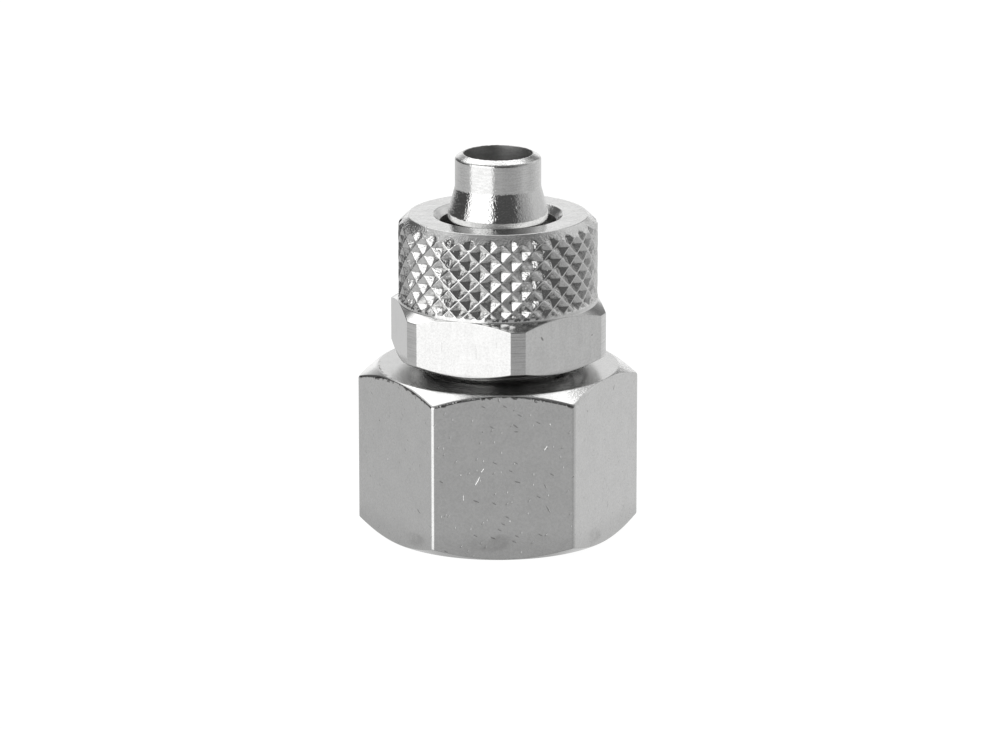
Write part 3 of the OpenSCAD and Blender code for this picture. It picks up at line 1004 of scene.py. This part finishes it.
class NutFaces:
    """Masks, each 1 on one face of the nut and 0 elsewhere. The distance to the nearest ridge of either
    hand is counted in ridge spacings, as for the knurl itself."""

    def __init__(self, g, spot):
        across = (spot.azimuth - (KNURL_TURN * DEGREES + 90)) * (KNURL_COUNT / CIRCLE_DEGREES)
        along = (spot.z - (NUT_Z + KNURL_PHASE)) / KNURL_PITCH
        one_hand = g.math("PINGPONG", across + along, 0.5)
        near = g.math("MINIMUM", one_hand, g.math("PINGPONG", across - along, 0.5))
        outside = g.step(spot.radius, KNURL_INSIDE_R, KNURL_INSIDE_R + FADE)
        self.knurl = g.step(spot.z, KNURL_Z, KNURL_Z + FADE) * outside
        chamfer_low = NUT_Z + RING_CHAMFER_LOW
        self.chamfer = g.step(spot.z, chamfer_low, chamfer_low + RING_FADE)
        worn = g.step(g.noise(spot.place, WEAR_PER_MM, 2.0), *WEAR)
        worn = LEAST_WEAR + worn * (1 - LEAST_WEAR)
        crest = g.step(near, RIDGE_SHARE, RIDGE_SHARE * RIDGE_CREST)
        self.ridge = crest * self.knurl * (1 - self.chamfer) * worn
        # The deep middle of each pit, which the colour darkens as painted shade.
        self.pit = g.step(near, *PIT_SHARES) * self.knurl
        outside = g.step(spot.radius, NUT_HEX_INSIDE_R, NUT_HEX_INSIDE_R + HALF_FADE)
        self.hexagon = g.step(spot.z, KNURL_Z, KNURL_Z - FADE) * outside
        self.land = g.step(spot.radius, *LAND_R) * self.hexagon
        self.underside = g.step(spot.z, *UNDERSIDE_Z)
        self.top = g.step(spot.z, *TOP_FACE_Z)
        self.hole = g.step(spot.radius, *HOLE_R) * g.step(spot.z, *HOLE_Z)

# %% Add up the nut's heights
NUT_FLAT_AZIMUTH = NUT_TURN * DEGREES - FLAT_DEGREES
NUT_NICKS = [(1, -1.95, 15.35, 0.22, 0.09, -55), (1, 2.60, 14.85, 0.08, 0.05, 70)]
NUT_SCRATCH = (80, 2.2, 0.28, 0.08)
DENTS_PER_MM = 2.5
DENT_DEPTH = 0.03
RING_GRAIN = 0.012
NUT_PLAIN_GRAIN = 0.0015
LAND_LINES = 0.02
TOP_LINES = 0.003
NUT_LINES = 0.002
NICK_DEPTH = 0.006
NUT_SCRATCH_DEPTH = 0.002

def nut_height(g, spot, flats, faces, marks):
    """The sum in mm of the rolled knurl's grain and dents, the lines of the tool, and the marks."""
    height = grain(g, spot, faces.knurl * RING_GRAIN + faces.chamfer * RING_GRAIN + NUT_PLAIN_GRAIN)
    dents = g.noise(spot.place, DENTS_PER_MM, 1.0) - 0.5
    height = height + dents * (faces.knurl * DENT_DEPTH)
    height = height + turning_lines(g, spot, faces.land * LAND_LINES + faces.top * TOP_LINES + NUT_LINES)
    scratches = strewn(g, flats, *NUT_SCRATCH) * faces.hexagon
    return height - marks * NICK_DEPTH - scratches * NUT_SCRATCH_DEPTH

# %% Colour the nut
FAINT_LINES = [
    (0, 0.92, 14.40, 0.60, 0.06, 92), (0, -1.60, 14.60, 0.50, 0.05, 88), (0, 2.40, 15.10, 0.35, 0.05, 91),
]
LAND_STREAKS = (0.6, 14)
LAND_SHARE = 6.0
BAR_STREAKS = (3.0, 0.3)
CHAMFER_STREAKS = 4.0
NICK_DIRT = 0.6
FAINT_DIRT = 0.14
# Painted shade deep in the knurl's pits.
PIT_SHADE = 0.5
UNDERSIDE_HAZE = 0.25
HOLE_HAZE = 0.2
TOP_POLISH = 0.04

def nut_tone(g, spot, flats, faces, marks):
    """The tarnished plate with streaks along the tool's path on what was turned and along the bar on
    the flats, grime in the marks, and painted shade deep in the knurl's pits."""
    lines = streaks(g, spot, *LAND_STREAKS) * (faces.land * LAND_SHARE)
    drawn = streaks(g, spot, *BAR_STREAKS) * (faces.hexagon * (1 - faces.land))
    rim = streaks(g, spot, *TOOL_STREAKS) * (faces.chamfer * CHAMFER_STREAKS)
    faint = nicks(g, flats, FAINT_LINES) * faces.hexagon
    dirt_and_shade = marks * NICK_DIRT + faint * FAINT_DIRT + faces.pit * PIT_SHADE
    return g.mix(dirt_and_shade, tarnish(g, spot, lines + drawn + rim), DIRT_AND_SHADE)

def nut_nickel():
    """One plate for the whole nut: smoother on the top face, hazier on the underside and inside the
    tube hole. On the ridges the mesh's normal gives way to the one that points straight out from the
    axis."""
    material, g = new_material("nut_nickel_plate")
    spot = Spot(g)
    flats = unrolled(g, spot, NUT_FLAT_AZIMUTH)
    faces = NutFaces(g, spot)
    per_mm = 1 / spot.radius
    outward = g.vector(spot.x * per_mm, spot.y * per_mm, 0)
    normal = g.lean(faces.ridge, g.wire("ShaderNodeNewGeometry", "Normal"), outward)
    marks = nicks(g, flats, NUT_NICKS) * faces.hexagon
    height = nut_height(g, spot, flats, faces, marks)
    tone = nut_tone(g, spot, flats, faces, marks)
    roughness = PLATE_ROUGHNESS + faces.underside * UNDERSIDE_HAZE + faces.hole * HOLE_HAZE
    finish_nickel(g, tone, roughness - faces.top * TOP_POLISH, height, normal)
    print(f"{material.name}: {len(material.node_tree.nodes)} nodes")
    return material

nut.data.materials.append(nut_nickel())

# %% [markdown]
# ## Joining the frame
# The new surfaces take the places of the imported model's nodes. Each rides on its own body, so that the
# nut moves when the frame is posed.

# %% Put the pieces on their bodies
for piece, node, name in ((body, "fitting_body", "fitting"), (nut, "union_nut", "nut")):
    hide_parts(node)
    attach(piece, name)
    print(f"{piece.name} replaces {node} and rides on {name}")

# %% [markdown]
# ## The room
# A shiny part is lit by what it mirrors, so lamps alone would leave it black between their glints. The
# world is painted as a small studio instead: a grey table below the horizon, a large white panel on the
# left of the camera, lighter walls behind the fitting and to its right, and a dark room behind the
# camera. Each ring of the room is a ramp of brightness against the azimuth, and the rings are stacked
# from the table to the ceiling. The camera itself sees plain white.

# %% Describe the rings of the room
# Each ring starts between two elevations, over which the one below it fades out. Its stops are pairs of
# azimuth and brightness. Azimuth 0 is the camera's side and 90 is its right. All angles are in degrees.
TABLE = [
    (-180, 0.50), (-120, 0.50), (-92, 0.60), (-60, 0.68), (-34, 0.62), (-28, 0.37), (30, 0.36),
    (36, 0.45), (60, 0.45), (90, 0.50), (180, 0.50),
]
TABLE_EDGE = [
    (-180, 0.72), (-120, 0.56), (-104, 0.56), (-96, 0.60), (-30, 0.60), (-12, 0.50), (0, 0.47),
    (8, 0.47), (12, 0.42), (28, 0.42), (40, 0.44), (57, 0.48), (70, 0.58), (78, 0.62), (92, 0.56),
    (110, 0.62), (122, 0.71), (137, 0.72), (145, 0.79), (160, 0.75), (180, 0.72),
]
HORIZON = [
    (-180, 1.20), (-166, 1.15), (-156, 0.40), (-150, 0.08), (-84, 0.08), (-12, 0.09), (43, 0.085),
    (48, 0.28), (65, 0.42), (80, 0.52), (95, 0.68), (122, 0.70), (150, 0.70), (157, 0.75), (166, 1.15),
    (180, 1.20),
]
LOW_WALL = [
    (-180, 0.85), (-166, 0.75), (-160, 0.45), (-156, 0.12), (-84, 0.10), (-8, 0.08), (43, 0.09),
    (48, 0.30), (65, 0.42), (80, 0.50), (95, 0.68), (130, 0.80), (143, 0.80), (151, 0.45), (156, 0.25),
    (162, 0.55), (168, 0.80), (180, 0.85),
]
WALL = [
    (-180, 0.55), (-162, 0.50), (-157, 0.28), (-152, 0.14), (-136, 0.14), (-128, 0.30), (-110, 0.45),
    (-84, 0.45), (-12, 0.12), (55, 0.12), (66, 0.26), (90, 0.32), (108, 0.50), (120, 0.85), (142, 0.85),
    (148, 0.50), (152, 0.17), (158, 0.17), (163, 0.50), (180, 0.55),
]
HIGH_WALL = [
    (-180, 1.60), (-137, 1.60), (-131, 0.75), (-115, 0.68), (-95, 0.60), (-72, 0.42), (-14, 0.11),
    (34, 0.11), (50, 0.24), (80, 0.30), (95, 0.50), (110, 0.75), (122, 0.80), (133, 0.60), (160, 0.60),
    (168, 1.60), (180, 1.60),
]
WALL_TOP = [
    (-180, 1.65), (-134, 1.65), (-129, 0.90), (-103, 0.86), (-85, 0.60), (-60, 0.40), (-18, 0.13),
    (34, 0.12), (50, 0.22), (80, 0.28), (95, 0.42), (110, 0.40), (128, 0.50), (132, 0.80), (136, 1.65),
    (180, 1.65),
]
CEILING_EDGE = [
    (-180, 1.60), (-142, 1.60), (-134, 0.95), (-110, 0.60), (-85, 0.50), (-60, 0.38), (-18, 0.26),
    (34, 0.20), (68, 0.19), (110, 0.24), (130, 0.28), (138, 1.50), (180, 1.60),
]
ROOM_CEILING = [(-180, 0.36), (180, 0.36)]
ROOM = [
    ((-38, -30), TABLE_EDGE), ((-5, -2), HORIZON), ((9, 13), LOW_WALL), ((19, 25), WALL),
    ((33, 38), HIGH_WALL), ((46, 52), WALL_TOP), ((60, 65), CEILING_EDGE), ((71, 77), ROOM_CEILING),
]
print(f"{len(ROOM) + 1} rings with {len(TABLE) + sum(len(levels) for _, levels in ROOM)} stops")

# %% Describe the panel
PANEL_LEFT = (-80.0, -73.0)
PANEL_LEFT_TURNS = (18.0, 30.0)
PANEL_RIGHT = (-13.0, -19.0)
PANEL_TOP = (46.0, 40.0)
PANEL_FOOT = (-33.0, -28.0)
PANEL_FADE = 2.0
PANEL_LEVELS = (1.34, 1.70)
PANEL_BRIGHTENS = (-8.0, 2.0)
print(f"the panel hangs from {PANEL_LEFT[0]:.0f} to {PANEL_RIGHT[0]:.0f} degrees of azimuth")

def hang_panel(g, azimuth, elevation, level):
    """Puts the panel in front of the rings. Its left edge is further left low down than high up, and it
    is a little brighter above the horizon than below it."""
    left = g.blend(g.step(elevation, *PANEL_LEFT_TURNS), *PANEL_LEFT)
    panel = g.step(azimuth - left, -PANEL_FADE, PANEL_FADE) * g.step(azimuth, *PANEL_RIGHT)
    panel = panel * g.step(elevation, *PANEL_TOP) * g.step(elevation, *PANEL_FOOT)
    return g.blend(panel, level, g.blend(g.step(elevation, *PANEL_BRIGHTENS), *PANEL_LEVELS))

# %% Paint the studio
WHITE = (1, 1, 1, 1)

def ring(g, azimuth, levels):
    """Brightness round the room: the stops joined by straight lines. A ramp runs from 0 to 1, so half a
    circle is added to the azimuth."""
    stops = [(place / CIRCLE_DEGREES + 0.5, level) for place, level in levels]
    return g.wire("ShaderNodeValToRGB", 0, {"stops": stops}, {0: azimuth / CIRCLE_DEGREES + 0.5})

def studio():
    """Stacks the rings of the room from the table up, hangs the panel in front of them, and shows the
    camera white."""
    world = bpy.data.worlds.new("studio")
    bpy.context.scene.world = world
    world.use_nodes = True
    g = Graph(world.node_tree)
    x, y, z = g.xyz(g.wire("ShaderNodeTexCoord", "Generated"))
    azimuth = g.math("ARCTAN2", x, -1.0 * y) * DEGREES
    elevation = g.math("ARCSINE", z) * DEGREES
    level = ring(g, azimuth, TABLE)
    for start, levels in ROOM:
        higher = ring(g, azimuth, levels)
        level = g.blend(g.step(elevation, *start), level, higher)
    level = hang_panel(g, azimuth, elevation, level)
    seen = g.wire("ShaderNodeLightPath", "Is Camera Ray")
    strength = g.blend(seen, level, 1.0)
    background = g.wire("ShaderNodeBackground", 0, inputs={"Color": WHITE, "Strength": strength})
    g.node("ShaderNodeOutputWorld", inputs={0: background})
    print(f"{world.name}: {len(world.node_tree.nodes)} nodes")

studio()

# %% [markdown]
# ## The floor
# The fitting stands on plain white. Only the camera sees this floor, because the room's painted table
# is already what the metal mirrors. Most of its white is light of its own, and a small matt share takes
# the soft shadow.

# %% Make the floor's white
FLOOR_GLOW = 0.96
FLOOR_MATT = 0.15

def floor_white():
    """Light of its own plus a weak matt surface."""
    material, g = new_material("white_floor")
    glow = g.wire("ShaderNodeEmission", 0, inputs={"Color": WHITE, "Strength": FLOOR_GLOW})
    matt = g.wire("ShaderNodeBsdfDiffuse", 0, inputs={"Color": (FLOOR_MATT, FLOOR_MATT, FLOOR_MATT, 1)})
    both = g.wire("ShaderNodeAddShader", 0, inputs={0: glow, 1: matt})
    g.node("ShaderNodeOutputMaterial", inputs={0: both})
    return material

# %% Lay the floor
FLOOR_R = 0.6
FLOOR_SIDES = 64

def lay_floor():
    """A disc at the height of the lower end face, in metres."""
    mesh = bpy.data.meshes.new("floor")
    work = bmesh.new()
    bmesh.ops.create_circle(work, cap_ends=True, segments=FLOOR_SIDES, radius=FLOOR_R)
    work.to_mesh(mesh)
    work.free()
    mesh.materials.append(floor_white())
    floor = bpy.data.objects.new("floor", mesh)
    bpy.context.collection.objects.link(floor)
    for ray in ("diffuse", "glossy", "transmission", "shadow"):
        setattr(floor, "visible_" + ray, False)
    print(f"floor {2 * FLOOR_R:.1f} m across")

lay_floor()
